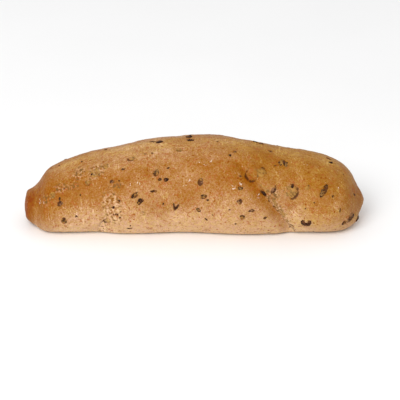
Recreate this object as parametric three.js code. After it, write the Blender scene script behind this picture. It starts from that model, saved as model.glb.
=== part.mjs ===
// An elongated seeded bread roll, baked as one piece.
// Units are millimetres. +X runs along the roll, +Z is up, and the tray it was baked on is z = 0.
// The origin is on that plane, at the middle of the roll's length and width.
import * as THREE from "three";

// Driving dimensions.
const LENGTH = 200;
const WAIST_SHARE = 0.46; // how far up a section its widest line runs
const DOME_POWER = 2.15; // superellipse power above the widest line
const FLANK_POWER = 2.35; // and below it
const LEFT_NOSE = 2; // the length over which the blunt left tip rounds off
const RIGHT_NOSE = 5; // and the pointed right one

// How finely the skin is divided.
const STATIONS = 76;
const SIDES = 44;
const END_CROWDING = 0.55; // 0 spaces the stations evenly, 1 crowds them fully into the ends

// The outline, each line a list of [x, value] through which a smooth curve runs.
// The crown is the highest point of each section.
const CROWN = [
  [-100, 18],
  [-97, 19],
  [-93, 21.6],
  [-90, 25],
  [-86.5, 30.2],
  [-81, 33.4],
  [-67, 38.4],
  [-44, 43.8],
  [-28, 46.6],
  [-12, 47.8],
  [10, 49.2],
  [32, 47],
  [51, 42.8],
  [75, 38.4],
  [84, 34.4],
  [91, 29.2],
  [95, 22.4],
  [98, 18.6],
  [100, 17.2],
];

// The underside is the lowest point, before the tray flattens it.
const UNDERSIDE = [
  [-100, 3.2],
  [-94, 0.8],
  [-88, -1.8],
  [-78, -3],
  [78, -3],
  [90, -1.4],
  [95, 1.4],
  [98, 7],
  [100, 9.5],
];

// The bow is how far a section's middle lies off the straight line between the ends.
const BOW = [
  [-100, -4.4],
  [-91, -6.8],
  [-80, -4.4],
  [-60, -2],
  [-40, -2],
  [-5, 1.4],
  [35, -2.2],
  [62, -1.6],
  [86, -3],
  [100, -3],
];

// The width of each section is this many times its height.
const FULLNESS = [
  [-100, 1.3],
  [-88, 1.4],
  [-60, 1.27],
  [60, 1.27],
  [88, 1.4],
  [100, 1.15],
];

// Creases in the dough: where it was rolled over itself and the two sides only just met.
// A path's points are [x, degrees round the section from its front, up being positive].
const FOLD = {
  path: [[23, 62], [28, 44], [33, 30], [39, 15], [44, 3], [49, -10], [54, -26], [59, -50]],
  depth: 2,
  left: 10, // how far the crease reaches on its shallow side
  right: 7, // and on its steep side
};
const TUCK = {
  path: [[-42, 25], [-46, 8], [-50, -10], [-55, -32], [-60, -56]],
  depth: 1,
  left: 7,
  right: 9,
};
const PATH_STEPS = 60;
const CREASE_FALLOFF = 2.5; // how sharply a crease's depth dies away towards its reach
const CREASE_FADE = 0.22; // the share of a crease's path over which it fades in, and out again

const CRUST = new THREE.MeshStandardMaterial({
  color: 0xc08a50,
  roughness: 0.6,
  metalness: 0,
});

// A smooth function of x through the points of one line of the outline.
function smoothLine(points) {
  const places = points.map(([x]) => x);
  const values = points.map(([, value]) => value);
  const curve = new THREE.CubicInterpolant(places, values, 1);
  return (x) => curve.evaluate(x)[0];
}

const crownAt = smoothLine(CROWN);
const undersideAt = smoothLine(UNDERSIDE);
const bowAt = smoothLine(BOW);
const fullnessAt = smoothLine(FULLNESS);

// 1 along the body, falling to 0 at each tip as a quarter of an ellipse does.
function noseAt(x) {
  const fromLeft = Math.min(1, (x + LENGTH / 2) / LEFT_NOSE);
  const fromRight = Math.min(1, (LENGTH / 2 - x) / RIGHT_NOSE);
  const rounding = (share) => Math.sqrt(Math.max(0, 1 - (1 - share) ** 2));
  return rounding(fromLeft) * rounding(fromRight);
}

// cos and sin raised to the power that turns a circle into a superellipse.
function bulge(value, power) {
  return Math.sign(value) * Math.abs(value) ** (2 / power);
}

// A point on the plain section at x. The angle is 0 at the front (-Y) and a quarter turn at the top.
function plainPoint(x, angle, inset) {
  const nose = noseAt(x);
  const middle = (crownAt(x) + undersideAt(x)) / 2;
  const height = (crownAt(x) - undersideAt(x)) * nose;
  const low = middle - height / 2;
  const waist = low + WAIST_SHARE * height;
  const power = Math.sin(angle) >= 0 ? DOME_POWER : FLANK_POWER;
  const across = (fullnessAt(x) * height) / 2 - inset;
  const upright = Math.sin(angle) >= 0 ? low + height - waist - inset : waist - low - inset;
  return new THREE.Vector3(
    x,
    bowAt(x) - Math.max(0, across) * bulge(Math.cos(angle), power),
    waist + Math.max(0, upright) * bulge(Math.sin(angle), power),
  );
}

// A crease's path as points on the plain skin.
function creaseLine(crease) {
  const corners = crease.path.map(([x, degrees]) => new THREE.Vector3(x, degrees, 0));
  return new THREE.CatmullRomCurve3(corners)
    .getPoints(PATH_STEPS)
    .map((p) => plainPoint(p.x, THREE.MathUtils.degToRad(p.y), 0));
}

// How deep a crease is at a point of the skin: full on its path, next to nothing past its reach,
// and fading out at its two ends.
function creaseDepth(crease, line, point) {
  let nearest = 0;
  line.forEach((p, i) => {
    if (p.distanceTo(point) < line[nearest].distanceTo(point)) nearest = i;
  });
  const reach = point.x < line[nearest].x ? crease.left : crease.right;
  const away = line[nearest].distanceTo(point) / reach;
  const share = nearest / (line.length - 1);
  const fade = Math.min(1, share / CREASE_FADE, (1 - share) / CREASE_FADE);
  return crease.depth * fade * Math.exp(-CREASE_FALLOFF * away * away);
}

const creases = [FOLD, TUCK].map((crease) => ({ crease, line: creaseLine(crease) }));

// A point on the finished skin, pressed in by the creases and flattened by the tray.
function skinPoint(x, angle) {
  const plain = plainPoint(x, angle, 0);
  const depth = creases.reduce((sum, { crease, line }) => sum + creaseDepth(crease, line, plain), 0);
  const point = plainPoint(x, angle, depth * noseAt(x));
  point.z = Math.max(0, point.z);
  return point;
}

// Stations from tip to tip, closer together at the ends, where the outline turns fastest.
function stationPlaces() {
  return Array.from({ length: STATIONS + 1 }, (_, i) => {
    const even = (2 * i) / STATIONS - 1;
    const crowded = -Math.cos((Math.PI * i) / STATIONS);
    return (LENGTH / 2) * THREE.MathUtils.lerp(even, crowded, END_CROWDING);
  });
}

// The closed skin: a ring of points at each inner station, and one point at each tip.
function rollGeometry() {
  const rings = stationPlaces().slice(1, -1);
  const points = rings.flatMap((x) =>
    Array.from({ length: SIDES }, (_, j) => skinPoint(x, (2 * Math.PI * j) / SIDES)),
  );
  const leftTip = points.push(skinPoint(-LENGTH / 2, 0)) - 1;
  const rightTip = points.push(skinPoint(LENGTH / 2, 0)) - 1;
  const faces = [];
  for (let j = 0; j < SIDES; j++) {
    const next = (j + 1) % SIDES;
    const last = (rings.length - 1) * SIDES;
    faces.push(leftTip, j, next);
    faces.push(rightTip, last + next, last + j);
    for (let i = 0; i < rings.length - 1; i++) {
      const a = i * SIDES + j;
      const b = i * SIDES + next;
      faces.push(a, a + SIDES, b + SIDES);
      faces.push(a, b + SIDES, b);
    }
  }
  return new THREE.BufferGeometry().setFromPoints(points).setIndex(faces);
}

// The roll as a named mesh, moved sideways so that its width is centred on the origin.
function breadRoll() {
  const geometry = rollGeometry();
  geometry.computeBoundingBox();
  geometry.computeVertexNormals();
  const mesh = new THREE.Mesh(geometry, CRUST);
  mesh.name = "bread_roll";
  mesh.position.y = -geometry.boundingBox.getCenter(new THREE.Vector3()).y;
  return mesh;
}

const part = new THREE.Group();
part.add(breadRoll());

export default part;
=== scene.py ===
"""A seeded bread roll: its baked crust, and the seeds, kernels and bran that show in it."""

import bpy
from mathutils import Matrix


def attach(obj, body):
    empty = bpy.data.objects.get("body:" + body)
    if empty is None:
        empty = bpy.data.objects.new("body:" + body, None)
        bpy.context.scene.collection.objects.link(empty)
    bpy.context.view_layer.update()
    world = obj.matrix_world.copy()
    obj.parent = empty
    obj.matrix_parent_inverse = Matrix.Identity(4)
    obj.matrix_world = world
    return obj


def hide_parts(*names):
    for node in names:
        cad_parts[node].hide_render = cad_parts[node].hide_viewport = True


bl_info = {
    "name": "Seeded Bread Roll",
    "version": (1, 0, 0),
    "blender": (4, 5, 0),
    "location": "View3D > Sidebar > Bread Roll",
    "description": "Bakes a crust round the roll's solid and presses the seeds into it",
    "category": "Add Mesh",
}

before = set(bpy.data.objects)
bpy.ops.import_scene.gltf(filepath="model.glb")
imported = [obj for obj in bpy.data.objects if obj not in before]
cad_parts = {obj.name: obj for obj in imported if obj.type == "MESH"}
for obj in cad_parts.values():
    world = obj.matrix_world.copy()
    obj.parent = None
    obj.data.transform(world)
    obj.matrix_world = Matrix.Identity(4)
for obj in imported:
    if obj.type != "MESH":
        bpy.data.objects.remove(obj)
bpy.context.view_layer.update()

import math

import bpy
import numpy as np
from bpy.props import FloatProperty, FloatVectorProperty, PointerProperty
from mathutils import Matrix, Vector, noise

MM = 0.001  # metres in a millimetre

# Where things lie on the roll: millimetres along it from its middle, the small nose being on the
# positive side, and degrees round its section from its front, the crown being at about 90.

# The fold, where the dough was rolled over itself, and the tuck, where its two sides only just met.
FOLD = [(23, 58), (28, 43), (33, 30), (39, 15), (44, 3), (49, -10), (54, -26), (58, -46)]
TUCK = [(-43, 22), (-46, 8), (-49, -6), (-53, -22), (-57, -42)]

# Places where the skin tore and dried rough: along, degrees, length, width, turn, and how badly.
TORN = [
    (-48, 1, 19, 13, 100, 0.5),
    (-45, -12, 12, 9, 100, 0.5),
    (-53, -34, 14, 6, 60, 0.3),
    (-57, 47, 15, 11, 62, 0.6),
    (-67, 50, 12, 9, 62, 0.4),
    (-37, 60, 8, 6, 0, 0.18),
    (47, 15, 9, 6, 130, 0.3),
    (-77, 32, 12, 8, 0, 0.3),
    (-70, 30, 9, 7, 0, 0.24),
    (-86, 22, 8, 11, 0, 0.2),
    (-44, 24, 12, 5, 0, 0.2),
    (30, 152, 17, 8, 30, 0.3),
    (-38, 176, 14, 9, 0, 0.42),
    (64, 182, 12, 7, -20, 0.24),
]

# Browner and paler places, partly where the oven caught it and partly painted shade and painted highlight:
# along, degrees, length, width, turn, and how much browner, or paler if below 0.
BAKED = [
    (-28, 68, 46, 40, 0, -0.26),
    (-12, 30, 28, 17, 0, -0.18),
    (-24, 12, 28, 15, 0, -0.26),
    (-44, 1, 17, 16, 0, -0.24),
    (-58, -13, 22, 13, 0, -0.2),
    (50, 22, 24, 15, 0, -0.34),
    (49, 11, 11, 9, 0, -0.2),
    (61, -11, 15, 12, 0, -0.26),
    (13, -10, 30, 14, 0, -0.13),
    (43, 64, 28, 28, 0, 0.36),
    (76, 60, 24, 34, 0, 0.15),
    (22, 33, 14, 19, 0, 0.3),
    (33, 44, 14, 14, 0, 0.06),
    (-75, 24, 24, 20, 0, 0.32),
    (-68, 14, 16, 13, 0, 0.26),
    (-47, 27, 26, 12, 0, 0.3),
    (-56, 11, 19, 10, 0, 0.3),
    (-86, 4, 18, 30, 0, 0.2),
    (-6, 5, 16, 14, 0, 0.36),
    (-21, -1, 24, 11, 0, 0.3),
    (-5, 90, 14, 12, 0, 0.3),
    (73, 4, 24, 20, 0, 0.2),
    (64, 8, 16, 10, 0, 0.14),
    (90, -12, 16, 30, 0, 0.2),
    (97, 4, 7, 16, 0, 0.26),
    (57, 66, 10, 22, 0, -0.2),
    (-84, -28, 28, 14, 0, -0.2),
    (57, -30, 18, 10, 0, -0.22),
    (83, 16, 14, 18, 0, -0.14),
    (-34, -5, 12, 13, 0, -0.34),
    (-8, -12, 15, 9, 0, -0.3),
    (10, 80, 16, 22, 0, 0.18),
    (4, 58, 16, 20, 0, 0.14),
    (69, 66, 20, 18, 0, 0.25),
    (82, -2, 12, 9, 0, 0.18),
    (-98, -4, 9, 40, 0, 0.5),
    (55, 4, 10, 7, 0, 0.2),
    (5, 42, 34, 12, 0, 0.1),
    (-30, 40, 16, 10, 0, 0.12),
    (47, -20, 10, 8, 0, -0.22),
    (20, 8, 14, 9, 0, -0.2),
    (-51, -36, 9, 8, 0, -0.25),
    (16, 146, 44, 24, 0, 0.2),
    (-46, 168, 36, 20, 0, -0.18),
    (58, 176, 26, 24, 0, -0.2),
    (4, 186, 30, 14, 0, 0.2),
    (-70, 148, 24, 22, 0, 0.22),
]

# How pale the crust is drawn round a section: shares of the way up from the sole to the crown, and of
# PALEST_TONE. The pale band low on the side is partly crust that baked less and partly a painted
# reflection;
# the darker band at mid height is painted shade, and the paler crown a painted sheen.
PALENESS_AND_SHEEN = [
    (0.0, 0.36),
    (0.12, 0.46),
    (0.2, 0.9),
    (0.28, 0.81),
    (0.33, 0.67),
    (0.39, 0.54),
    (0.44, 0.45),
    (0.49, 0.4),
    (0.54, 0.34),
    (0.59, 0.29),
    (0.64, 0.265),
    (0.71, 0.275),
    (0.77, 0.305),
    (0.84, 0.33),
    (0.92, 0.36),
    (1.0, 0.44),
]
PALEST_TONE = 5.0  # a tone of 1 is brown, and one of about 4 is blond

# Seeds and bits on the front and the crown: along, degrees, length, width, turn from the roll's length.
LINSEEDS = [
    (4, 21, 4.2, 3.4, 80),
    (26.3, 2, 3.4, 2.8, 60),
    (-77.4, 10, 3.4, 3.1, 0),
    (23.9, 68, 2.4, 2.0, 0),
    (45, 86, 2.8, 2.3, 0),
    (-47.5, 29, 2.6, 2.2, 0),
    (46.2, 18, 4.4, 2.5, 50),
    (91.2, -12, 6.5, 4.8, 10),
    (41.4, -14, 2.0, 1.7, 0),
    (-3.8, 94, 2.4, 2.2, 20),
    (33.3, -7, 3.4, 2.0, 10),
]
SLIVERS = [
    (-23.4, 13, 4.0, 1.4, 0),
    (-11.4, -5, 5.0, 1.4, 98),
    (-9.6, -5, 3.8, 1.3, 62),
    (84.9, 2, 2.9, 0.9, 84),
    (-68, -10, 2.2, 1.2, -40),
    (-28.4, 67, 1.9, 1.0, 0),
    (39.0, 109, 4.8, 2.0, 0),
    (79.2, 106, 3.6, 1.3, -20),
    (43.8, -38, 2.9, 1.1, 0),
    (7.1, -19, 2.3, 1.0, -38),
    (-41.2, 45, 2.2, 1.3, 12),
    (-14.8, 39, 1.9, 1.1, 35),
    (-51.7, 108, 2.4, 1.5, 0),
    (-78.0, 17, 2.4, 1.1, 86),
    (-37.5, -30, 3.4, 1.3, 8),
    (-37.0, -26, 1.6, 0.9, 80),
    (-34.2, 12.5, 3.4, 1.1, 32),
    (80.7, 18, 1.9, 1.2, 50),
    (52.5, 61, 3.6, 1.4, 80),
    (47.3, 51, 1.7, 1.1, 30),
]
BITS = [
    (-1.8, 92, 3.3, 3.0, 0),
    (-2.6, 106, 3.2, 3.8, 0),
    (-20.4, 96, 3.6, 3.2, 0),
    (-23.2, 98, 1.3, 0.9, 20),
    (-30.8, 4.5, 3.0, 2.1, -10),
    (40.2, 14, 3.8, 2.4, -42),
    (8, 2, 1.3, 1.1, 0),
    (57.2, 25, 2.6, 1.5, 75),
    (50.3, 55, 1.5, 1.1, 30),
    (49.4, 59, 1.6, 1.5, 0),
    (-59.5, 44, 1.0, 1.3, 0),
    (80.1, 90, 2.3, 2.1, 0),
    (20.9, 59, 1.5, 1.9, 0),
    (13.7, 89, 1.3, 1.0, 30),
    (26.9, 31, 1.3, 1.1, 0),
    (95.4, -34, 3.6, 2.6, 0),
    (87.4, -18, 3.0, 1.8, 30),
    (91.6, -12, 4.6, 2.8, 20),
    (-78.8, 101, 1.2, 1.0, 0),
    (-65.7, 79, 1.2, 1.1, 0),
    (-65.9, 17, 0.8, 1.2, 0),
    (24.2, -23, 1.0, 1.0, 0),
    (-17.8, -1, 0.9, 1.2, 0),
    (-16.2, 25, 2.5, 2.3, 0),
    (-19.8, 26, 1.9, 1.7, 20),
    (-75.6, -10, 1.9, 1.3, 0),
    (-43.2, 29, 1.1, 0.9, 20),
    (-43.2, 6, 1.1, 1.0, 0),
    (-43, -14, 1.3, 0.9, 60),
    (-46.7, -2, 1.7, 1.4, 30),
    (47.2, 23, 0.8, 0.7, 0),
    (63.3, -18.5, 2.6, 2.4, 90),
    (64.5, -21.5, 2.6, 2.3, 20),
    (66.0, -21.5, 2.6, 2.3, -20),
    (67.2, -18.5, 2.6, 2.4, 90),
    (65.2, -20, 2.6, 2.0, 0),
    (65.2, -21.5, 3.0, 1.8, 0),
    (74.0, 17, 2.6, 1.6, 63),
    (75.3, 24, 2.0, 1.4, 40),
    (76.8, 29, 2.4, 1.6, 70),
    (36.0, 112, 2.4, 1.6, 0),
    (56.2, -29, 1.0, 0.8, 0),
    (64.7, -1, 0.7, 0.7, 0),
    (69.8, 7, 0.8, 0.7, 0),
    (93.6, 38, 1.9, 1.4, 40),
    (55.3, 118, 1.1, 0.9, 0),
    (-83.8, 112, 1.1, 0.8, 0),
    (20.6, -7, 1.0, 0.7, 0),
    (-75.4, 30, 1.0, 1.0, 0),
    (69.8, -37, 1.0, 0.7, 0),
    (87.3, 69, 0.8, 0.6, 0),
    (68, 94, 0.7, 0.7, 0),
    (10.8, -14, 1.0, 0.8, 0),
    (-24.1, 67, 1.8, 0.8, -15),
]
KERNELS = [
    (75.4, 23, 8.8, 3.0, 63),
    (53.9, 58, 5.0, 2.4, 80),
    (-22.1, 35, 4.6, 3.2, 84),
    (-31.8, 2, 2.6, 2.2, 0),
    (5.6, 5.5, 3.8, 2.6, 20),
    (28.1, -15, 3.3, 2.9, 0),
    (-75.4, -14, 3.4, 3.1, 90),
    (-34.6, 10, 4.0, 2.4, 30),
    (2.6, -9, 3.0, 2.2, -40),
    (26.9, 17, 2.9, 2.2, -10),
    (-24.6, 101, 4.6, 2.0, 0),
    (-44.8, -10, 1.9, 1.6, 0),
]

# Kernels that lie under the skin and lift it: along, degrees, length, width, turn, height, the side
# on which the skin has come away, in degrees from the turned length, and how much shows through.
BURIED = [
    (33.6, 36, 8.8, 7.2, 72, 0.36, 150, 0.3),
    (38.9, 38, 7.4, 6.0, 62, 0.2, 340, 0.9),
    (-57, 46, 8.0, 6.0, 60, 0.12, 250, 1.0),
    (-82.5, 25, 5.5, 4.0, 80, 0.1, 200, 1.0),
    (-51, 54, 4.0, 3.0, 60, 0.1, 90, 1.0),
    (56.3, 18, 8.4, 8.0, 70, 0.38, 262, 1.0),
    (51.2, 60, 5.0, 3.6, 78, 0.3, 300, 1.0),
    (-36.1, 62, 4.6, 3.8, 0, 0.3, 230, 1.0),
    (-61.8, 32, 3.6, 3.2, 0, 0.25, 270, 1.0),
    (-50.5, -20, 4.2, 2.4, 0, 0.3, 200, 1.0),
    (-8.7, 69, 3.6, 3.0, 0, 0.25, 300, 1.0),
    (65.6, 24, 2.9, 2.6, 0, 0.25, 30, 1.0),
    (-29.5, -11, 2.8, 2.6, 0, 0.2, 90, 1.0),
    (-14, 154, 9.0, 7.6, 30, 0.36, 190, 1.0),
    (46, 168, 6.4, 5.0, 0, 0.3, 80, 1.0),
    (-62, 186, 5.0, 4.2, 0, 0.3, 300, 1.0),
]

# Where tiny blisters huddle, three to a place, each under a millimetre across, each with a painted glint.
BLISTERS = [
    (27.2, 23),
    (26.5, 21.5),
    (22.1, 18),
    (23.1, 17),
    (31.1, 9),
    (31.9, 8),
    (36.3, 11),
    (36.9, 9.6),
    (83.7, 33),
    (-2.4, 22),
    (-5.8, 16),
    (-36.6, 23),
    (-32.5, 24),
    (-31.3, 23),
    (-89.6, 27),
    (-89.2, 23),
    (-86.9, 20),
    (-85.4, 7),
    (2.4, 43),
    (9.5, 47),
    (6.8, 41),
    (-58, 150),
    (-56, 153),
    (12, 168),
    (34, 141),
    (36, 143),
]


END_STARTS = 82  # how far from the middle the two ends begin to round off

# The hidden side, where seeds are strewn at random.
HIDDEN_FROM, HIDDEN_TO = 133, 214  # degrees, from just past the crown and down the back
HIDDEN_REACH = 91  # how far from the middle it goes
HIDDEN_NARROWS = 55  # past here, towards the nose, it starts a degree later for each millimetre
MM_A_DEGREE = math.radians(1) * 28  # round a section, whose radius is about 28 mm

# The studio, in metres but for the aim.
AIM = (3.5, 0.0, 11.1)  # what the camera looks at, in millimetres
SOFTBOX_PLACE = (-0.35, -0.85, 0.8)
SOFTBOX_SIZE = (0.7, 0.6)


def ease(low, high, value):
    """0 below low, 1 above high, and a smooth step between."""
    share = np.clip((value - low) / (high - low), 0.0, 1.0)
    return share * share * (3.0 - 2.0 * share)


def grain(points, size, start):
    """Smooth noise between about -1 and 1 at points in millimetres, its waves about size across."""
    shift = Vector((start * 31.7, start * -17.9, start * 7.3))
    return np.array([noise.noise(Vector(p) / size + shift) for p in points])


def gather(collection, name, width=3, kind=float):
    """One property of every item of a mesh's collection, as an array with a row for each."""
    values = np.empty(len(collection) * width, kind)
    collection.foreach_get(name, values)
    return values.reshape(-1, width) if width > 1 else values


def take_hold(piece):
    """Makes piece the only thing selected, and the active one."""
    bpy.ops.object.select_all(action="DESELECT")
    piece.select_set(True)
    bpy.context.view_layer.objects.active = piece


def work(piece, kind, **settings):
    """Adds a modifier to piece and applies it."""
    take_hold(piece)
    modifier = piece.modifiers.new(kind.lower(), kind)
    for name, value in settings.items():
        setattr(modifier, name, value)
    bpy.ops.object.modifier_apply(modifier=modifier.name)


def roll_axis():
    """The middle line of the frame's solid: places along it, and its middle's y and z there, in mm."""
    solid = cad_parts["bread_roll"].data
    points = gather(solid.vertices, "co") / MM
    places = np.unique(points[:, 0].round(2))
    rings = [points[np.abs(points[:, 0] - x) < 0.02] for x in places]
    middles = [(ring.min(0) + ring.max(0)) / 2 for ring in rings]
    radii = [np.ptp(ring[:, 1:], axis=0).mean() / 2 for ring in rings]
    return places, np.array(middles), np.array(radii)


AXIS_X, AXIS_MIDDLE, AXIS_RADIUS = roll_axis()


class Spot:
    """A place on the skin: its point in mm, its outward normal, and the two directions across it."""

    def __init__(self, piece, along, degrees):
        angle = math.radians(degrees)
        inside = Vector((along, axis_y(along), axis_z(along)))
        outward = Vector((0, -math.cos(angle), math.sin(angle)))
        found, place, normal, _ = piece.ray_cast(inside * MM, outward)
        if not found:
            raise RuntimeError(f"there is no skin at {along} mm, {degrees} degrees")
        self.point = np.array(place) / MM
        self.normal = np.array(normal)
        length = np.array((1.0, 0.0, 0.0))
        length -= self.normal * self.normal[0]
        self.length = length / np.linalg.norm(length)
        self.around = np.cross(self.normal, self.length)

    def turned(self, degrees):
        """The length and width directions after a turn in the skin's plane."""
        c, s = math.cos(math.radians(degrees)), math.sin(math.radians(degrees))
        return self.length * c + self.around * s, self.around * c - self.length * s

    def across(self, points, turn):
        """Each point's offset from the spot along its turned length, its width and its normal."""
        away = points - self.point
        u, v = self.turned(turn)
        return away @ u, away @ v, away @ self.normal


def axis_y(along):
    """The middle line's y at a place along the roll."""
    return float(np.interp(along, AXIS_X, AXIS_MIDDLE[:, 1]))


def axis_z(along):
    """The middle line's z there."""
    return float(np.interp(along, AXIS_X, AXIS_MIDDLE[:, 2]))


class Skin:
    """The crust's points in millimetres, to be pushed about, and the marks that its finish reads."""

    MARKS = ("torn", "olive", "recess_shade", "blister_glint", "browned_and_shaded", "blond_and_highlit", "side")

    def __init__(self, piece):
        self.piece = piece
        self.marks = {name: np.zeros(len(piece.data.vertices)) for name in self.MARKS}
        self.read()

    def read(self):
        mesh = self.piece.data
        self.points = gather(mesh.vertices, "co") / MM
        self.normals = gather(mesh.vertex_normals, "vector")

    def push(self, height):
        """Moves each point out along its normal by its height, in mm."""
        self.points += self.normals * height[:, None]

    def write(self):
        """Puts the worked points back in the mesh, none of them below the tray."""
        self.points[:, 2] = np.maximum(self.points[:, 2], 0.0)
        mesh = self.piece.data
        mesh.vertices.foreach_set("co", (self.points * MM).ravel())
        mesh.update()
        self.read()

    def mark(self, name, amount):
        self.marks[name] = np.maximum(self.marks[name], amount)

    def keep_marks(self):
        """Stores the marks as attributes of the mesh."""
        for name, values in self.marks.items():
            layer = self.piece.data.attributes.new(name, "FLOAT", "POINT")
            layer.data.foreach_set("value", np.clip(values, 0.0, 1.0))

    def off_path(self, path, step=0.7):
        """Each point's distance from a path, positive on its nose side, and its share along it."""
        knots = np.array(path, float)
        reach = np.concatenate([[0], np.cumsum(np.hypot(*np.diff(knots, axis=0).T))])
        shares = np.linspace(0, 1, int(reach[-1] / step))
        walk = [np.interp(shares * reach[-1], reach, knots[:, i]) for i in (0, 1)]
        spots = [Spot(self.piece, x, degrees) for x, degrees in zip(*walk)]
        line = np.array([spot.point for spot in spots])
        ahead = np.gradient(line, axis=0)
        ahead /= np.linalg.norm(ahead, axis=1)[:, None]
        side = np.cross([spot.normal for spot in spots], ahead)
        near = np.full(len(self.points), np.inf)
        nearest = np.zeros(len(self.points), int)
        for i, place in enumerate(line):
            away = ((self.points - place) ** 2).sum(1)
            closer = away < near
            near[closer] = away[closer]
            nearest[closer] = i
        offset = ((self.points - line[nearest]) * side[nearest]).sum(1)
        return offset, np.sqrt(near), shares[nearest]


def dough_blank(face_size):
    """The frame's own solid, copied, merged, rounded and remeshed into an even fine skin."""
    blank = bpy.data.objects.new("crust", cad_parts["bread_roll"].data.copy())
    bpy.context.scene.collection.objects.link(blank)
    blank.data.materials.clear()
    take_hold(blank)
    bpy.ops.object.mode_set(mode="EDIT")
    bpy.ops.mesh.select_all(action="SELECT")
    bpy.ops.mesh.remove_doubles(threshold=0.01 * MM)
    bpy.ops.mesh.tris_convert_to_quads()
    bpy.ops.object.mode_set(mode="OBJECT")
    work(blank, "SUBSURF", levels=2, render_levels=2)
    blank.data.remesh_voxel_size = face_size
    take_hold(blank)
    bpy.ops.object.voxel_remesh()
    work(blank, "SMOOTH", factor=0.5, iterations=6)
    return blank


def swell(blank, name, wave, height, depth):
    """Raises and sinks the skin by a cloudy pattern, except where it lies on the tray."""
    clouds = bpy.data.textures.new(name, "CLOUDS")
    clouds.noise_scale = wave
    clouds.noise_depth = depth
    work(
        blank,
        "DISPLACE",
        texture=clouds,
        texture_coords="LOCAL",
        strength=height,
        mid_level=0.5,
        vertex_group="off_the_tray",
    )


def free_of_tray(blank):
    """A vertex group that fades from the sole, which stays flat, to the sides."""
    group = blank.vertex_groups.new(name="off_the_tray")
    for vertex in blank.data.vertices:
        lift = (vertex.co.z / MM - 0.4) / 4.0
        group.add([vertex.index], min(1.0, max(0.0, lift)), "REPLACE")


def carve_fold(skin):
    """Tucks the skin in along the fold, rounds the flap beside it and tears its far wall."""
    off, away, share = skin.off_path(FOLD)
    fade = ease(0.0, 0.25, share) * (1 - ease(0.85, 1.0, share)) * (away < 16)
    crease = np.exp(-((off / np.where(off < 0, 2.6, 1.2)) ** 2))
    flap = np.exp(-(((off + 7.5) / 4.0) ** 2))
    ledge = np.exp(-(((off - 4.5) / 3.0) ** 2))
    skin.push(fade * (0.7 * flap - 1.5 * crease + 0.6 * ledge))
    # The flap's slope down into the crease is darker: partly browner crust, partly painted shade.
    skin.mark("browned_and_shaded", 0.4 * fade * ease(-9.0, -2.0, off) * (1 - ease(-0.8, 0.8, off)))
    wall = ease(-0.3, 0.9, off) * (1 - ease(2.4, 5.0, off)) * ease(0.36, 0.52, share)
    skin.mark("torn", 0.8 * fade * wall)
    broken = ease(0.0, 0.35, grain(skin.points, 1.8, 9))
    # Painted shade in broken spots along the crease.
    skin.mark("recess_shade", 0.8 * fade * broken * ease(0.3, 0.45, share) * np.exp(-(((off - 0.3) / 0.9) ** 2)))
    skin.mark("olive", 0.6 * fade * np.exp(-(((off - 2.2) / 2.0) ** 2)) * ease(0.25, 0.4, share))


def carve_tuck(skin):
    """Presses in the shallow crease towards the other end."""
    off, away, share = skin.off_path(TUCK)
    fade = ease(0.0, 0.3, share) * (1 - ease(0.92, 1.0, share)) * (away < 10)
    skin.push(-0.7 * fade * np.exp(-((off / 1.6) ** 2)))
    skin.mark("torn", 0.45 * fade * np.exp(-((off / 1.8) ** 2)))


def bake(skin, along, degrees, length, width, turn, amount):
    """Marks a broad place browner, or paler for an amount below 0: partly oven, partly painted shade and
    highlight.
    """
    spot = Spot(skin.piece, along, degrees)
    u, v, w = spot.across(skin.points, turn)
    away = (2 * u / length) ** 2 + (2 * v / width) ** 2 + (2 * w / width) ** 2
    skin.mark("browned_and_shaded" if amount > 0 else "blond_and_highlit", abs(amount) * np.exp(-0.8 * away))


def mark_sides(skin):
    """Marks how far up its section or its rounded end each point lies: 0 under the roll, 1 on top."""
    x, y, z = skin.points.T
    middle_y, middle_z = (np.interp(x, AXIS_X, AXIS_MIDDLE[:, i]) for i in (1, 2))
    outward = np.hypot(y - middle_y, np.maximum(0.0, np.abs(x) - END_STARTS))
    skin.mark("side", 0.5 + np.arctan2(z - middle_z, outward) / math.pi)


def tear(skin, along, degrees, length, width, turn, harm):
    """Marks a patch where the skin tore and dried rough."""
    spot = Spot(skin.piece, along, degrees)
    u, v, w = spot.across(skin.points, turn)
    ragged = 0.25 * grain(skin.points, 2.6, along)
    rim = np.hypot(2 * u / length, 2 * v / width) + ragged
    skin.mark("torn", (1 - ease(0.3, 1.2, rim)) * min(1.0, 2 * harm) * (np.abs(w) < 8))


def roughen(skin):
    """Breaks up the torn places into ridges and pits."""
    torn = skin.marks["torn"]
    where = torn > 0.01
    points = skin.points[where]
    ridges = 1 - 2 * np.abs(grain(points, 1.9, 3))
    crumbs = grain(points, 1.0, 5)
    height = np.zeros(len(torn))
    height[where] = torn[where] * (0.34 * ridges + 0.2 * crumbs)
    skin.push(height)
    # Painted shade in the pits between the ridges.
    pits = np.zeros(len(torn))
    pits[where] = torn[where] * ease(0.05, 0.5, -ridges - 0.5 * crumbs)
    skin.mark("recess_shade", 0.75 * pits)


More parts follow.
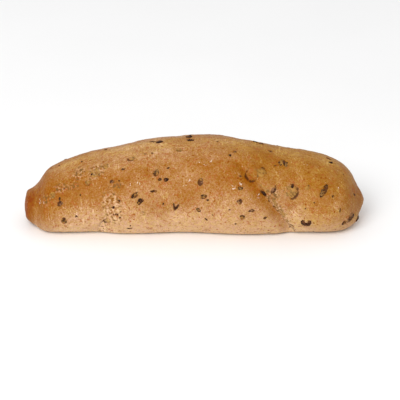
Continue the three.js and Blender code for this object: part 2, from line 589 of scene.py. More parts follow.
def lift_kernel(skin, along, degrees, length, width, turn, height, open_side, showing):
    """Lifts the skin over a buried kernel and opens a dark gap on one side of it."""
    spot = Spot(skin.piece, along, degrees)
    u, v, w = spot.across(skin.points, turn)
    across = np.hypot(2 * u / length, 2 * v / width)
    where = (np.abs(w) < 6) & (across < 2.2)
    near = where.astype(float)
    ragged = np.zeros(len(u))
    ragged[where] = grain(skin.points[where], 2.4, along)
    across = across + 0.16 * ragged
    rim = (across - 1) * (length + width) / 4
    facing = 0.5 + 0.5 * np.cos(np.arctan2(v, u) - math.radians(open_side))
    inside = 1 - ease(0.75, 1.05, across)
    gap = np.exp(-((rim / (0.4 + 0.45 * facing)) ** 2)) * (0.4 + 0.6 * facing**2)
    gap *= min(1.0, 0.3 + 1.6 * height)
    lip = np.exp(-(((rim - 0.75) / 0.5) ** 2)) * (0.25 + 0.75 * facing)
    dimple = np.exp(-((rim / 0.5) ** 2)) * (1 - facing**3)
    dome = np.sqrt(np.clip(1 - across**2, 0, 1)) * (0.75 + 0.5 * ragged)
    skin.push(near * (height * dome + 0.25 * lip - 1.5 * height * gap - 0.12 * dimple))
    skin.mark("olive", near * inside * showing * (0.75 - 0.5 * ragged))
    # The gap's darkness is painted shade.
    skin.mark("recess_shade", near * gap)


def press_seed(skin, along, degrees, length, width, turn):
    """Presses the dimple that a seed sits in: open on one side, and closed over on the other."""
    spot = Spot(skin.piece, along, degrees)
    u, v, w = spot.across(skin.points, turn)
    near = np.abs(w) < 5
    across = np.hypot(2 * u / (1.06 * length), 2 * v / (1.06 * width))
    rim = (across - 1) * (length + width) / 4
    open_side = math.radians((37 * along + 17 * degrees) % 360)
    facing = 0.5 + 0.5 * np.cos(np.arctan2(v, u) - open_side)
    dimple = (1 - ease(0.7, 1.15, across)) * (0.35 + 0.65 * facing)
    lip = np.exp(-(((rim - 0.5) / 0.5) ** 2)) * (1.3 - facing)
    where = near & (across < 2)
    ragged = np.zeros(len(across))
    ragged[where] = 0.16 * grain(skin.points[where], 1.1, 7)
    skin.push(near * (0.16 * lip - 0.3 * dimple) + ragged * (1 - ease(1.2, 2.0, across)))
    # Painted shade in the dimple round the seed, darkest on its open side.
    dark = (1 - ease(0.9, 1.25, across)) * (0.2 + 0.8 * facing)
    skin.mark("recess_shade", near * dark)


def raise_blisters(skin, along, degrees):
    """A huddle of tiny blisters round one place, each with a painted glint."""
    spot = Spot(skin.piece, along, degrees)
    rng = np.random.default_rng(int(1000 + 7 * along + degrees))
    for _ in range(3):
        middle = spot.point + spot.length * rng.normal(0, 0.6) + spot.around * rng.normal(0, 0.6)
        size = rng.uniform(0.3, 0.48)
        bead = np.exp(-((np.linalg.norm(skin.points - middle, axis=1) / size) ** 2))
        skin.push(0.25 * bead)
        skin.mark("blister_glint", bead)


def hidden_spots(seed, count, spacing):
    """Seeded random places over the crown's far side and the back, kept apart from each other."""
    rng = np.random.default_rng(seed)
    places = []
    while len(places) < count:
        along = rng.uniform(-HIDDEN_REACH, HIDDEN_REACH)
        degrees = rng.uniform(HIDDEN_FROM + max(0.0, along - HIDDEN_NARROWS), HIDDEN_TO)
        clear = all(math.hypot(along - a, (degrees - d) * MM_A_DEGREE) > spacing for a, d in places)
        if clear:
            places.append((round(along, 1), round(degrees)))
    return places, rng


def strew(seed, count, spacing, shortest, longest, slimmest, fullest):
    """Random seeds for the hidden side, as rows like the ones above."""
    places, rng = hidden_spots(seed, count, spacing)
    rows = []
    for along, degrees in places:
        length = rng.uniform(shortest, longest)
        width = length * rng.uniform(slimmest, fullest)
        rows.append((along, degrees, length, width, rng.uniform(0, 180)))
    return rows


ALL_LINSEEDS = LINSEEDS + strew(11, 11, 13, 2.4, 4.4, 0.6, 0.85)
ALL_SLIVERS = SLIVERS + strew(23, 15, 10, 1.8, 4.2, 0.32, 0.5)
ALL_BITS = BITS + strew(37, 38, 6, 0.9, 2.4, 0.65, 1.0)
ALL_KERNELS = KERNELS + strew(41, 8, 18, 3.0, 6.0, 0.45, 0.8)


def unroll(skin):
    """Lays the skin out flat: the sides unrolled as one sheet, the sole and the two ends beside it."""
    mesh = skin.piece.data
    corners = gather(mesh.loops, "vertex_index", 1, int)
    sizes = gather(mesh.polygons, "loop_total", 1, int)
    face_of_corner = np.repeat(np.arange(len(sizes)), sizes)
    middles = gather(mesh.polygons, "center") / MM
    facing = gather(mesh.polygons, "normal")

    x, y, z = skin.points.T
    radius = np.interp(x, AXIS_X, AXIS_RADIUS)
    angle = np.arctan2(
        z - np.interp(x, AXIS_X, AXIS_MIDDLE[:, 2]), -(y - np.interp(x, AXIS_X, AXIS_MIDDLE[:, 1]))
    )
    angle = np.where(angle < -math.pi / 2, angle + 2 * math.pi, angle)
    profile = np.concatenate([[0], np.cumsum(np.hypot(np.diff(AXIS_X), np.diff(AXIS_RADIUS)))])
    from_left = AXIS_RADIUS[0] + np.interp(x, AXIS_X, profile)
    from_right = AXIS_RADIUS[-1] + profile[-1] - np.interp(x, AXIS_X, profile)

    left_end, right_end = -88.0, 90.0
    sole = facing[:, 2] < -0.75
    left = (middles[:, 0] < left_end) & ~sole
    right = (middles[:, 0] > right_end) & ~sole
    flat = {
        "side": np.column_stack([x, (angle - math.pi / 2) * radius]),
        "sole": np.column_stack([x, y]),
        "left": np.column_stack([from_left * np.cos(angle), from_left * np.sin(angle)]),
        "right": np.column_stack([from_right * np.cos(angle), from_right * np.sin(angle)]),
    }
    places = {"side": (94, 82), "sole": (94, 192), "left": (222, 36), "right": (222, 110)}
    sheet = 256.0
    chart = np.select([sole, left, right], ["sole", "left", "right"], "side")
    uv = np.empty((len(corners), 2))
    for name, spread in flat.items():
        mine = chart[face_of_corner] == name
        uv[mine] = (spread[corners[mine]] + places[name]) / sheet
    layer = mesh.uv_layers.new(name="OFBake")
    layer.data.foreach_set("uv", uv.ravel())


class Number:
    """A number socket used in Python arithmetic: each sum adds its Math node."""

    def __init__(self, look, socket):
        self.look = look
        self.socket = socket

    def _math(self, operation, first, second):
        return self.look.number("ShaderNodeMath", {"operation": operation}, {0: first, 1: second})

    def __add__(self, other):
        return self._math("ADD", self, other)

    __radd__ = __add__

    def __sub__(self, other):
        return self._math("SUBTRACT", self, other)

    def __rsub__(self, other):
        return self._math("SUBTRACT", other, self)

    def __mul__(self, other):
        return self._math("MULTIPLY", self, other)

    __rmul__ = __mul__

    def ease(self, low, high, start=0.0, end=1.0):
        """A smooth step from start to end as the number goes from low to high."""
        return self.look.number(
            "ShaderNodeMapRange",
            {"interpolation_type": "SMOOTHSTEP"},
            {"Value": self, "From Min": low, "From Max": high, "To Min": start, "To Max": end},
        )


class Look:
    """A material under construction."""

    def __init__(self, name):
        self.material = bpy.data.materials.new(name)
        self.material.use_nodes = True
        self.tree = self.material.node_tree
        self.shader = self.tree.nodes["Principled BSDF"]
        self.places = self.add("ShaderNodeTexCoord", {}, {}).outputs["Object"]

    def add(self, kind, settings, values):
        """A new node: its settings are made first, then its sockets' values or links."""
        node = self.tree.nodes.new(kind)
        for name, value in settings.items():
            setattr(node, name, value)
        for name, value in values.items():
            self.feed(node.inputs[name], value)
        return node

    def feed(self, socket, value):
        if isinstance(value, Number):
            value = value.socket
        if isinstance(value, bpy.types.NodeSocket):
            self.tree.links.new(value, socket)
        elif hasattr(value, "__len__") and len(value) == 3 and socket.type == "RGBA":
            socket.default_value = (*value, 1.0)
        else:
            socket.default_value = value

    def number(self, kind, settings, values, output=0):
        return Number(self, self.add(kind, settings, values).outputs[output])

    def mark(self, name):
        """One of the marks kept on the skin."""
        return self.number("ShaderNodeAttribute", {"attribute_name": name}, {}, "Fac")

    def stretched(self, wave, turn=(0.0, 0.0, 0.0), start=None):
        """The object's own coordinates, turned and divided by the wave in mm along each axis."""
        wave = wave if hasattr(wave, "__len__") else (wave, wave, wave)
        values = {"Vector": start or self.places, "Rotation": turn}
        turned = self.add("ShaderNodeMapping", {}, values).outputs[0]
        scale = tuple(1 / (MM * w) for w in wave)
        return self.add("ShaderNodeMapping", {}, {"Vector": turned, "Scale": scale}).outputs[0]

    def warped(self, wave, amount):
        """The object's own coordinates, pushed about by that many mm in waves of that many mm."""
        values = {"Vector": self.stretched(wave), "Scale": 1.0, "Detail": 1.0}
        cloud = self.add("ShaderNodeTexNoise", {}, values).outputs["Color"]
        values = {0: cloud, 1: (amount * MM,) * 3, 2: self.places}
        return self.add("ShaderNodeVectorMath", {"operation": "MULTIPLY_ADD"}, values).outputs[0]

    def clouds(self, wave, detail=2.0, rough=0.5, turn=(0.0, 0.0, 0.0)):
        """Noise about 0.5, with waves of that many mm along each axis."""
        values = {
            "Vector": self.stretched(wave, turn),
            "Scale": 1.0,
            "Detail": detail,
            "Roughness": rough,
        }
        return self.number("ShaderNodeTexNoise", {}, values)

    def cells(self, wave, feature="F1", start=None):
        """A Voronoi node of cells that many mm across."""
        values = {"Vector": self.stretched(wave, start=start), "Scale": 1.0}
        return self.add("ShaderNodeTexVoronoi", {"feature": feature}, values)

    def cracks(self, wave, width):
        """1 in wandering cracks between flakes of about wave mm, 0 on the flakes."""
        node = self.cells(wave, "DISTANCE_TO_EDGE", self.warped(wave, 1.6 * wave))
        return Number(self, node.outputs["Distance"]).ease(0.0, width / wave, 1.0, 0.0)

    def flecks(self, cell, smallest, largest, share):
        """Spots in some of the cells, from smallest to largest across in mm."""
        node = self.cells(cell, start=self.warped(1.1, 0.9))
        away = Number(self, node.outputs["Distance"])
        draw = self.add("ShaderNodeSeparateColor", {}, {"Color": node.outputs["Color"]})
        size = Number(self, draw.outputs[0]).ease(
            0.0, 1.0, smallest / (2 * cell), largest / (2 * cell)
        )
        chosen = Number(self, draw.outputs[1]).ease(1 - share, 1 - share + 0.02)
        return (size - away).ease(0.0, 0.3 * smallest / cell) * chosen

    def colour(self, factor, low, high, blend="MIX"):
        """Between two colours, by a factor."""
        settings = {"data_type": "RGBA", "blend_type": blend}
        node = self.add("ShaderNodeMix", settings, {0: factor, 6: low, 7: high})
        return node.outputs[2]

    def beyond(self, factor, low, high):
        """Between two colours, or past either of them."""
        settings = {"data_type": "RGBA", "clamp_factor": False, "clamp_result": True}
        return self.add("ShaderNodeMix", settings, {0: factor, 6: low, 7: high}).outputs[2]

    def curve(self, number, knots):
        """A smooth curve of the number through knots between 0 and 1."""
        node = self.add("ShaderNodeFloatCurve", {}, {"Value": number})
        line = node.mapping.curves[0]
        while len(line.points) < len(knots):
            line.points.new(0.5, 0.5)
        for point, knot in zip(line.points, knots):
            point.location = knot
        node.mapping.update()
        return Number(self, node.outputs[0])

    def bump(self, height, depth):
        """A relief: height from 0 to 1 over a depth in mm."""
        values = {"Height": height, "Distance": depth * MM, "Strength": 1.0}
        return self.add("ShaderNodeBump", {}, values).outputs[0]

    def finish(self, **sockets):
        """Sets the shader's sockets, named with underscores for spaces."""
        for name, value in sockets.items():
            self.feed(self.shader.inputs[name.replace("_", " ")], value)
        return self.material


def crust_finish(colours):
    """Baked crust: golden, browner at the ends, paler low down, flecked with bran."""
    look = Look("baked_crust")
    place = look.add("ShaderNodeSeparateXYZ", {}, {"Vector": look.places}).outputs
    x = Number(look, place[0]) * (1 / MM)
    torn = look.mark("torn")
    side = look.mark("side")
    broad = look.clouds(26, 1.0)
    patchy = look.clouds(9, 2.0, 0.55)
    mottle = look.clouds(4.2, 2.0, 0.6)
    speckle = look.clouds(1.7, 2.0, 0.6)
    fine = look.clouds(0.62, 1.0, 0.7)

    # Its tone, higher where it is paler: how it baked, with painted reflection, shade, sheen and highlight
    # in it.
    tone = look.curve(side + (broad - 0.5) * 0.08 + (patchy - 0.5) * 0.09, PALENESS_AND_SHEEN) * PALEST_TONE
    uneven = 1.0 + (mottle - 0.5) * 1.1
    tone = tone * (1.0 + look.mark("blond_and_highlit") * uneven) * (1.0 - look.mark("browned_and_shaded") * uneven)
    left = x * -1.0 + (patchy - 0.5) * 8
    right = x + (patchy - 0.5) * 8
    tone = tone * (1.0 - left.ease(74, 90) * side.ease(0.25, 0.5, 0.15, 0.3))
    tone = tone * (1.0 - left.ease(88, 96) * side.ease(0.5, 0.8, 0.25, 0.08))
    tone = tone * (1.0 - right.ease(90, 98) * 0.22)
    ridge = (x + (mottle - 0.5) * 4).ease(-94, -93) * (x * -1.0 + (mottle - 0.5) * 4).ease(91, 92)
    tone = tone * (1.0 + ridge * speckle * 0.6)

    # Stretch lines: steep along the roll, slanting with the fold at its nose end.
    steep = look.clouds((0.8, 9, 9), 2.0, 0.6, (0.0, 0.15, 0.0))
    slant = look.clouds((0.75, 8, 8), 2.0, 0.6, (0.0, 0.75, 0.0))
    lines = x.ease(-10, 15, 1.0, 0.0) * steep + x.ease(-10, 15) * slant
    broken = look.clouds(9, 1.0).ease(0.46, 0.58)
    tail_end = (x * -1.0).ease(45, 65) * side.ease(0.6, 0.8, 1.0, -0.4)
    lines = lines.ease(0.57, 0.66) * broken * (1.0 + tail_end) * side.ease(0.3, 0.54, 0.3, 1.0)

    # Mottling, and specks: cream where the skin blistered, brown where bran shows. The mottling and the
    # cream specks are fainter low down.
    rougher = side.ease(0.3, 0.52, 0.35, 1.0)
    crowd = look.clouds(12, 1.0).ease(0.4, 0.6, 0.45, 1.0)
    grain = (fine - 0.5) * 1.4 + (speckle - 0.5) * 0.6 + (mottle - 0.5) * 0.65 + (patchy - 0.5) * 0.6
    grain = grain * rougher
    cream = look.flecks(2.2, 0.5, 1.1, 0.4) * crowd * rougher
    bran = look.flecks(2.6, 0.7, 1.4, 0.7) * crowd
    rough = (torn * 1.4 + (mottle - 0.5) * 1.2).ease(0.15, 0.6)
    salt = look.clouds(1.5, 2.0, 0.6)
    grit = salt.ease(0.54, 0.59) * rough * torn.ease(0.72, 0.98, 1.0, 0.3)
    flour = salt.ease(0.4, 0.46, 1.0, 0.0) * rough * torn.ease(0.4, 0.9, 0.5, 1.3)
    crumbs = look.flecks(5.5, 0.7, 1.5, 0.45)
    wrinkle = look.clouds(2.7, 2.0, 0.65) - 0.5
    wrinkle = (wrinkle * wrinkle).ease(0.0, 0.0014, 1.0, 0.0)
    cracks = look.cracks(2.4, 0.5) * torn.ease(0.2, 0.7) * speckle.ease(0.4, 0.6)
    dry = (torn + (speckle - 0.5) * 1.4).ease(0.2, 0.75)
    tone = tone * (1.0 + grain) * (1.0 + dry * 0.25) * (1.0 + cream * 0.5 + lines * 0.45)
    tone = tone * (1.0 - bran * 0.6) * (1.0 - crumbs * 0.6) * (1.0 - cracks * 0.6)
    tone = tone * (1.09 - wrinkle * side.ease(0.3, 0.52, 0.16, 0.34))
    colour = look.beyond((tone - 1.0) * 0.35, colours.brown, colours.blond_and_highlit)

    # Golden places: above and below at the nose end, on the tail's shoulder, the crown and the sole.
    nose_crown = x.ease(10, 45) * side.ease(0.5, 0.85, 0.0, 0.85)
    nose_flank = x.ease(56, 70) * x.ease(64, 84, 0.5, 0.35)
    nose_flank = nose_flank * side.ease(0.26, 0.44) * side.ease(0.5, 0.85, 1.0, 0.0)
    shoulder = (x * -1.0).ease(48, 70) * left.ease(78, 90, 0.25, 0.0) * side.ease(0.4, 0.6)
    shoulder = shoulder * side.ease(0.7, 0.95, 1.0, 0.5)
    rims = side.ease(0.1, 0.3, 0.75, 0.0) + side.ease(0.8, 1.0, 0.0, 0.5)
    warm = nose_crown + nose_flank + shoulder + rims
    warm = warm + (look.clouds(7) - 0.5) * 1.2 + (speckle - 0.5) * 0.8
    colour = look.colour(warm.ease(0, 1), colour, colours.warm, "MULTIPLY")
    tint = look.clouds(1.4, 2.0, 0.75).ease(0.36, 0.64)
    tint = look.colour(tint, colours.rosy, colours.golden)
    colour = look.colour(1.0, colour, tint, "MULTIPLY")

    pinkish = look.flecks(1.8, 0.35, 0.9, 0.45) * crowd
    colour = look.colour(pinkish * 0.4, colour, colours.flour)
    colour = look.colour(grit * 0.9, colour, colours.grit)
    colour = look.colour(flour * 0.4, colour, colours.flour)

    # What isn't crust: kernels showing through, rusty veins of bran, painted gap shade, painted blister
    # glints.
    olive = (look.mark("olive") + (speckle - 0.5) * 1.6).ease(0.3, 0.7)
    streaks = look.clouds((1.0, 4, 4), 2.0, 0.6, (0.0, 0.9, 0.0))
    husk = streaks.ease(0.42, 0.56) + (salt - 0.5) * 2.5
    husk = look.beyond(husk, colours.husk, colours.olive)
    colour = look.colour(olive * 0.75, colour, husk)
    vein = look.clouds(3.4, 2.0, 0.5) - 0.5
    vein = (vein * vein).ease(0.0, 0.0009, 1.0, 0.0) * look.clouds(5).ease(0.5, 0.58)
    rust = vein + look.flecks(2.8, 0.6, 1.4, 0.55) + look.flecks(2.0, 0.55, 1.1, 0.5)
    rust = rust * side.ease(0.1, 0.2)
    colour = look.colour((rust * 0.7).ease(0.0, 1.0), colour, colours.rust)
    ragged = (fine - 0.5) * 1.2 + (speckle - 0.5) * 1.0
    # Painted shade in the gaps, pits, dimples and the crease.
    recess_shade = (look.mark("recess_shade") + ragged).ease(0.35, 0.7)
    colour = look.colour(recess_shade * 0.9, colour, colours.recess_shade)
    # Painted glints on the blisters, which are also made smoother.
    blister_glint = (look.mark("blister_glint") + (fine - 0.5) * 0.8).ease(0.35, 0.7)
    colour = look.colour(blister_glint * 0.65, colour, colours.blister_glint)

    relief = (fine * 0.16 + speckle * 0.35) * rougher + lines * 0.15
    relief = relief + cream * 0.3 - bran * 0.3 - cracks * 0.6
    dull = 0.48 + (mottle - 0.5) * 0.35 + torn * 0.2 - blister_glint * 0.3
    return look.finish(
        Base_Color=colour,
        Roughness=dull,
        Normal=look.bump(relief, 0.25),
        Specular_IOR_Level=0.2,
        IOR=1.3,
    )


def seed_finish(name, dark, light, dough, veil, roughness):
    """A seed's hull: dark to one side, paler to the other, partly as a painted highlight, and veiled here
    and there by dough.
    """
    look = Look(name)
    streaks = look.clouds(1.3, 2.0, 0.6)
    worn = look.clouds(0.6, 2.0, 0.6)
    pale = (look.mark("shade") + (streaks - 0.5) * 2.2 + (worn - 0.5) * 1.2).ease(0.1, 0.7, 1.0, 0.0)
    colour = look.colour(pale, dark, light)
    film = look.clouds(2.3, 3.0, 0.7).ease(0.64 - 0.3 * veil, 0.7 - 0.3 * veil)
    colour = look.colour(film * 0.85, colour, dough)
    return look.finish(
        Base_Color=colour,
        Roughness=roughness + film * 0.2,
        Normal=look.bump(worn + film, 0.25),
        Specular_IOR_Level=0.18,
        IOR=1.35,
    )


def floor_finish(colour):
    """A plain pale table top, with the faintest unevenness."""
    look = Look("table_top")
    cloud = look.clouds(120, 2.0)
    pale = tuple(c * 0.985 for c in colour)
    return look.finish(
        Base_Color=look.colour(cloud.ease(0.3, 0.7), pale, colour),
        Roughness=0.6,
    )


def lying_ball(segments, rings):
    """A ball a unit across, its poles at the two ends of its length."""
    bpy.ops.mesh.primitive_uv_sphere_add(segments=segments, ring_count=rings, radius=0.5)
    ball = bpy.context.object
    bpy.ops.object.mode_set(mode="EDIT")
    bpy.ops.mesh.select_all(action="SELECT")
    bpy.ops.transform.rotate(value=math.pi / 2, orient_axis="Y", center_override=(0, 0, 0))
    bpy.ops.object.mode_set(mode="OBJECT")
    return ball


def linseed_shape():
    """A flat drop a unit long and a unit wide: a ball drawn out to a point at one end."""
    seed = lying_ball(16, 10)
    for vertex in seed.data.vertices:
        toward = vertex.co.x + 0.5
        vertex.co.y *= 1.12 - 0.55 * toward**2
        vertex.co.z *= 0.42
    return seed


def sliver_shape():
    """A split hull seen on edge: keeled, and bent a little along its length."""
    seed = linseed_shape()
    for vertex in seed.data.vertices:
        keel = 1 - 2 * abs(vertex.co.y)
        vertex.co.z *= 1.1 + 0.6 * keel
        vertex.co.y += 0.12 * (1 - 4 * vertex.co.x**2)
    return seed


def bit_shape():
    """A crumb of malt or seed hull: an uneven, flattened lump."""
    bpy.ops.mesh.primitive_ico_sphere_add(subdivisions=2, radius=0.62)
    bit = bpy.context.object
    for vertex in bit.data.vertices:
        lump = 1 + 0.45 * noise.noise(vertex.co * 3.1 + Vector((4.0, 1.0, 7.0)))
        vertex.co *= lump
        vertex.co.z *= 0.55
    return bit


def kernel_shape():
    """A hulled kernel: plump, narrower at one end, wrinkled, with a shallow groove along it."""
    kernel = lying_ball(24, 16)
    for vertex in kernel.data.vertices:
        toward = vertex.co.x + 0.5
        groove = 1 - 0.3 * math.exp(-((vertex.co.y / 0.09) ** 2))
        wrinkle = 1 + 0.16 * noise.noise(vertex.co * 5.0)
        vertex.co.y *= 1.1 - 0.5 * toward**2.5
        vertex.co.z *= 0.5 * groove * wrinkle
    return kernel


def plant(name, shape, rows, thickness, proud):
    """Copies one shape to every row's place on the crust, and joins the copies as one piece."""
    crust = bpy.data.objects["crust"]
    bpy.ops.object.select_all(action="DESELECT")
    pattern = shape()
    copies = []
    for along, degrees, length, width, turn in rows:
        spot = Spot(crust, along, degrees)
        u, v = spot.turned(turn)
        height = thickness * math.sqrt(length * width)
        sink = height * (0.5 - proud)
        middle = spot.point - spot.normal * sink
        columns = [u * length, v * width, spot.normal * height * 2, middle]
        place = Matrix([*np.array(columns).T * MM, (0, 0, 0, 1)])
        copy = bpy.data.objects.new(name, pattern.data.copy())
        # The shade mark: darker at each seed's rim and to one side, paler in its middle, partly a painted
        # highlight.
        shade = copy.data.attributes.new("shade", "FLOAT", "POINT")
        dark_side = Vector((math.cos(5 * along), math.sin(5 * along), 0.0))
        for vertex, mark in zip(copy.data.vertices, shade.data):
            mark.value = 0.3 + vertex.co.xy.length * 0.7 + vertex.co.dot(dark_side) * 0.9
        copy.data.transform(place)
        for vertex in copy.data.vertices:
            lump = noise.noise(vertex.co / (0.4 * width * MM))
            vertex.co += vertex.normal * lump * 0.24 * width * MM
        bpy.context.scene.collection.objects.link(copy)
        copies.append(copy)
    bpy.data.objects.remove(pattern)
    bpy.ops.object.select_all(action="DESELECT")
    for copy in copies:
        copy.select_set(True)
    piece = copies[0]
    bpy.context.view_layer.objects.active = piece
    bpy.ops.object.join()
    piece.name = name
    bpy.ops.object.shade_smooth()
    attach(piece, "root")
    return piece


def paint(name, description, default):
    """A colour in the sidebar."""
    return FloatVectorProperty(name=name, description=description, default=default, subtype="COLOR")


def span(name, description, default):
    """A small length in the sidebar."""
    return FloatProperty(name=name, description=description, default=default, unit="LENGTH", precision=5)


class CrustSettings(bpy.types.PropertyGroup):
    """The crust's fineness, relief and colours."""

    face_size: span("Face size", "How wide a face of the crust's mesh is", 0.69 * MM)
    swell: span("Swell", "Height of the broad unevenness that proving leaves", 1.1 * MM)
    dimpling: span("Dimpling", "Height of the small dimples in the skin", 0.8 * MM)
    # The dark end of the tone, which also carries the painted shade.
    brown: paint("Brown", "Well baked skin", (0.285, 0.103, 0.007))
    # The pale end of the tone, which also carries the painted highlights, reflection band and sheen.
    blond_and_highlit: paint("Blond and highlight", "Barely baked skin", (0.63, 0.405, 0.245))
    warm: paint("Warm", "Cast of the golden places", (1, 1, 0.52))
    rosy: paint("Rosy", "Cast of one half of the mottling", (1, 0.94, 1))
    golden: paint("Golden", "Cast of the other half", (0.98, 1, 0.7))
    husk: paint("Husk", "Streaks over a kernel that shows through", (0.15, 0.08, 0.018))
    grit: paint("Grit", "Dark specks in torn skin", (0.15, 0.075, 0.02))
    olive: paint("Olive", "Skin with a kernel just under it", (0.34, 0.18, 0.04))
    flour: paint("Flour", "Dry pale flakes", (0.73, 0.48, 0.3))
    rust: paint("Rust", "Reddish flecks", (0.32, 0.08, 0.013))
    # Painted shade for gaps, pits and dimples.
    recess_shade: paint("Recess shade", "Gaps and dimples", (0.065, 0.018, 0.003))
    # Painted glint on the tiny blisters.
    blister_glint: paint("Blister glint", "Tiny blisters", (0.85, 0.72, 0.6))


class SeedSettings(bpy.types.PropertyGroup):
    """How far the seeds stand out, and their colours."""

    proud: FloatProperty(
        name="Proud",
        description="Share of a seed's thickness that stands out of the crust",
        default=0.3,
        subtype="FACTOR",
        min=0.0,
        max=1.0,
    )
    linseed: paint("Linseed", "Dark hull", (0.06, 0.019, 0.006))
    # The pale hull colours are partly a painted highlight on the glossy seeds.
    linseed_pale_and_highlight: paint("Pale linseed", "Pale hull", (0.27, 0.13, 0.06))
    hull: paint("Hull", "Dark split hulls", (0.03, 0.009, 0.003))
    hull_pale_and_highlight: paint("Pale split hull", "Paler side of split hulls", (0.12, 0.042, 0.014))
    kernel: paint("Kernel", "Roasted kernel", (0.045, 0.016, 0.005))
    kernel_pale_and_highlight: paint("Pale roasted kernel", "Pale kernel", (0.25, 0.13, 0.04))
    dough: paint("Dough", "Dough over the seeds", (0.36, 0.16, 0.035))


class StageSettings(bpy.types.PropertyGroup):
    """The table, the lights and the camera."""

    table_size: FloatProperty(
        name="Table size", description="Side of the table top", default=4.0, unit="LENGTH"
    )
    table_colour: paint("Table", "Colour of the table top", (0.9, 0.9, 0.9))
    elevation: FloatProperty(
        name="Elevation",
        description="How far above the table the camera looks from",
        default=math.radians(25),
        subtype="ANGLE",
    )
    lens: FloatProperty(name="Lens", description="Focal length in millimetres", default=300.0)
    view_width: FloatProperty(
        name="View width",
        description="Width that the camera sees at the roll's middle",
        default=0.2358,
        unit="LENGTH",
    )
    softbox: FloatProperty(name="Softbox", description="Power of the front light", default=10.5)
    sky: FloatProperty(name="Sky", description="Strength of the light all round", default=0.8)


class BREAD_OT_crust(bpy.types.Operator):
    """Bake the crust round the roll's solid"""

    bl_idname = "bread.crust"
    bl_label = "Bake the Crust"

    def execute(self, context):
        settings = context.scene.bread_crust
        blank = dough_blank(settings.face_size)
        free_of_tray(blank)
        swell(blank, "proving", 26 * MM, settings.swell, 1)
        swell(blank, "lumps", 7 * MM, settings.dimpling, 2)
        swell(blank, "pores", 2.6 * MM, 0.25 * settings.dimpling, 1)
        skin = Skin(blank)
        carve_fold(skin)
        carve_tuck(skin)
        skin.write()
        mark_sides(skin)
        for row in BAKED:
            bake(skin, *row)
        for row in TORN:
            tear(skin, *row)
        roughen(skin)
        for row in BURIED:
            lift_kernel(skin, *row)
        for row in ALL_LINSEEDS + ALL_SLIVERS + ALL_BITS + ALL_KERNELS:
            press_seed(skin, *row)
        for row in BLISTERS:
            raise_blisters(skin, *row)
        skin.write()
        skin.keep_marks()
        unroll(skin)
        take_hold(blank)
        bpy.ops.object.shade_smooth()
        blank.vertex_groups.clear()
        blank.data.materials.append(crust_finish(settings))
        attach(blank, "root")
        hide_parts("bread_roll")
        return {"FINISHED"}


class BREAD_OT_linseeds(bpy.types.Operator):
    """Press the linseeds into the crust"""

    bl_idname = "bread.linseeds"
    bl_label = "Add the Linseeds"

    def execute(self, context):
        settings = context.scene.bread_seeds
        piece = plant("linseeds", linseed_shape, ALL_LINSEEDS, 0.4, settings.proud)
        hulls = (settings.linseed, settings.linseed_pale_and_highlight)
        finish = seed_finish("linseed_hull", *hulls, settings.dough, 0.3, 0.4)
        piece.data.materials.append(finish)
        return {"FINISHED"}


class BREAD_OT_hulls(bpy.types.Operator):
    """Press the split hulls and the crumbs of malt into the crust"""

    bl_idname = "bread.hulls"
    bl_label = "Add the Split Hulls"

    def execute(self, context):
        settings = context.scene.bread_seeds
        finish = seed_finish("dark_hull", settings.hull, settings.hull_pale_and_highlight, settings.dough, 0.15, 0.45)
        slivers = plant("split_hulls", sliver_shape, ALL_SLIVERS, 0.4, settings.proud)
        slivers.data.materials.append(finish)
        bits = plant("malt_crumbs", bit_shape, ALL_BITS, 0.55, 1.2 * settings.proud)
        bits.data.materials.append(finish)
        return {"FINISHED"}


class BREAD_OT_kernels(bpy.types.Operator):
    """Press the roasted kernels into the crust"""

    bl_idname = "bread.kernels"
    bl_label = "Add the Kernels"

    def execute(self, context):
        settings = context.scene.bread_seeds
        piece = plant("kernels", kernel_shape, ALL_KERNELS, 0.3, settings.proud)
        hulls = (settings.kernel, settings.kernel_pale_and_highlight)
        finish = seed_finish("roasted_kernel", *hulls, settings.dough, 0.4, 0.5)
        piece.data.materials.append(finish)
        return {"FINISHED"}


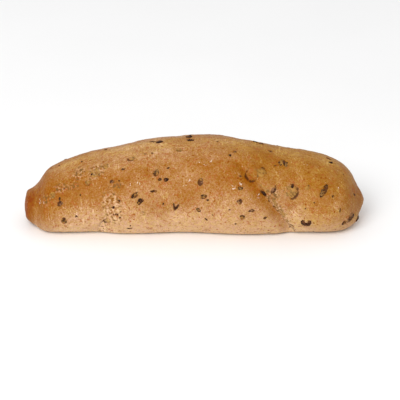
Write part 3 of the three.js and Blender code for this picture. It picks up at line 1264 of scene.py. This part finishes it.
class BREAD_OT_stage(bpy.types.Operator):
    """Set up the table, the lights and the camera"""

    bl_idname = "bread.stage"
    bl_label = "Set the Stage"

    def execute(self, context):
        settings = context.scene.bread_stage
        scene = context.scene
        bpy.ops.object.select_all(action="DESELECT")
        bpy.ops.mesh.primitive_plane_add(size=settings.table_size)
        table = context.object
        table.name = "table"
        table.data.materials.append(floor_finish(settings.table_colour))

        softbox = bpy.data.lights.new("softbox", "AREA")
        softbox.shape = "RECTANGLE"
        softbox.size, softbox.size_y = SOFTBOX_SIZE
        softbox.energy = settings.softbox
        place = Vector(SOFTBOX_PLACE)
        front = bpy.data.objects.new("softbox", softbox)
        front.location = place
        front.rotation_euler = (-place).to_track_quat("-Z", "Y").to_euler()
        scene.collection.objects.link(front)

        world = bpy.data.worlds.new("studio")
        world.use_nodes = True
        world.node_tree.nodes["Background"].inputs["Strength"].default_value = settings.sky
        world.node_tree.nodes["Background"].inputs["Color"].default_value = (1, 1, 1, 1)
        scene.world = world

        camera = bpy.data.cameras.new("camera")
        camera.lens = settings.lens
        distance = settings.view_width * camera.lens / camera.sensor_width
        aim = Vector(AIM) * MM
        out = Vector((0, -math.cos(settings.elevation), math.sin(settings.elevation)))
        viewer = bpy.data.objects.new("camera", camera)
        viewer.location = aim + out * distance
        viewer.rotation_euler = (-out).to_track_quat("-Z", "Y").to_euler()
        scene.collection.objects.link(viewer)
        scene.camera = viewer
        scene.view_settings.view_transform = "Standard"
        return {"FINISHED"}


class BREAD_PT_sidebar(bpy.types.Panel):
    """The roll's pieces, in the order they are made"""

    bl_idname = "BREAD_PT_sidebar"
    bl_label = "Bread Roll"
    bl_space_type = "VIEW_3D"
    bl_region_type = "UI"
    bl_category = "Bread Roll"

    def draw(self, context):
        scene = context.scene
        for step in STEPS:
            self.layout.operator(step.bl_idname)
        for group in (scene.bread_crust, scene.bread_seeds, scene.bread_stage):
            box = self.layout.box()
            for name in group.bl_rna.properties.keys():
                if name not in ("rna_type", "name"):
                    box.prop(group, name)


STEPS = (BREAD_OT_stage, BREAD_OT_crust, BREAD_OT_linseeds, BREAD_OT_hulls, BREAD_OT_kernels)
GROUPS = {
    "bread_crust": CrustSettings,
    "bread_seeds": SeedSettings,
    "bread_stage": StageSettings,
}
CLASSES = (*GROUPS.values(), *STEPS, BREAD_PT_sidebar)


def register():
    for cls in CLASSES:
        bpy.utils.register_class(cls)
    for name, cls in GROUPS.items():
        setattr(bpy.types.Scene, name, PointerProperty(type=cls))


def unregister():
    for name in GROUPS:
        delattr(bpy.types.Scene, name)
    for cls in reversed(CLASSES):
        bpy.utils.unregister_class(cls)


def main():
    register()
    bpy.ops.bread.stage()
    bpy.ops.bread.crust()
    bpy.ops.bread.linseeds()
    bpy.ops.bread.hulls()
    bpy.ops.bread.kernels()


if __name__ == "__main__":
    main()
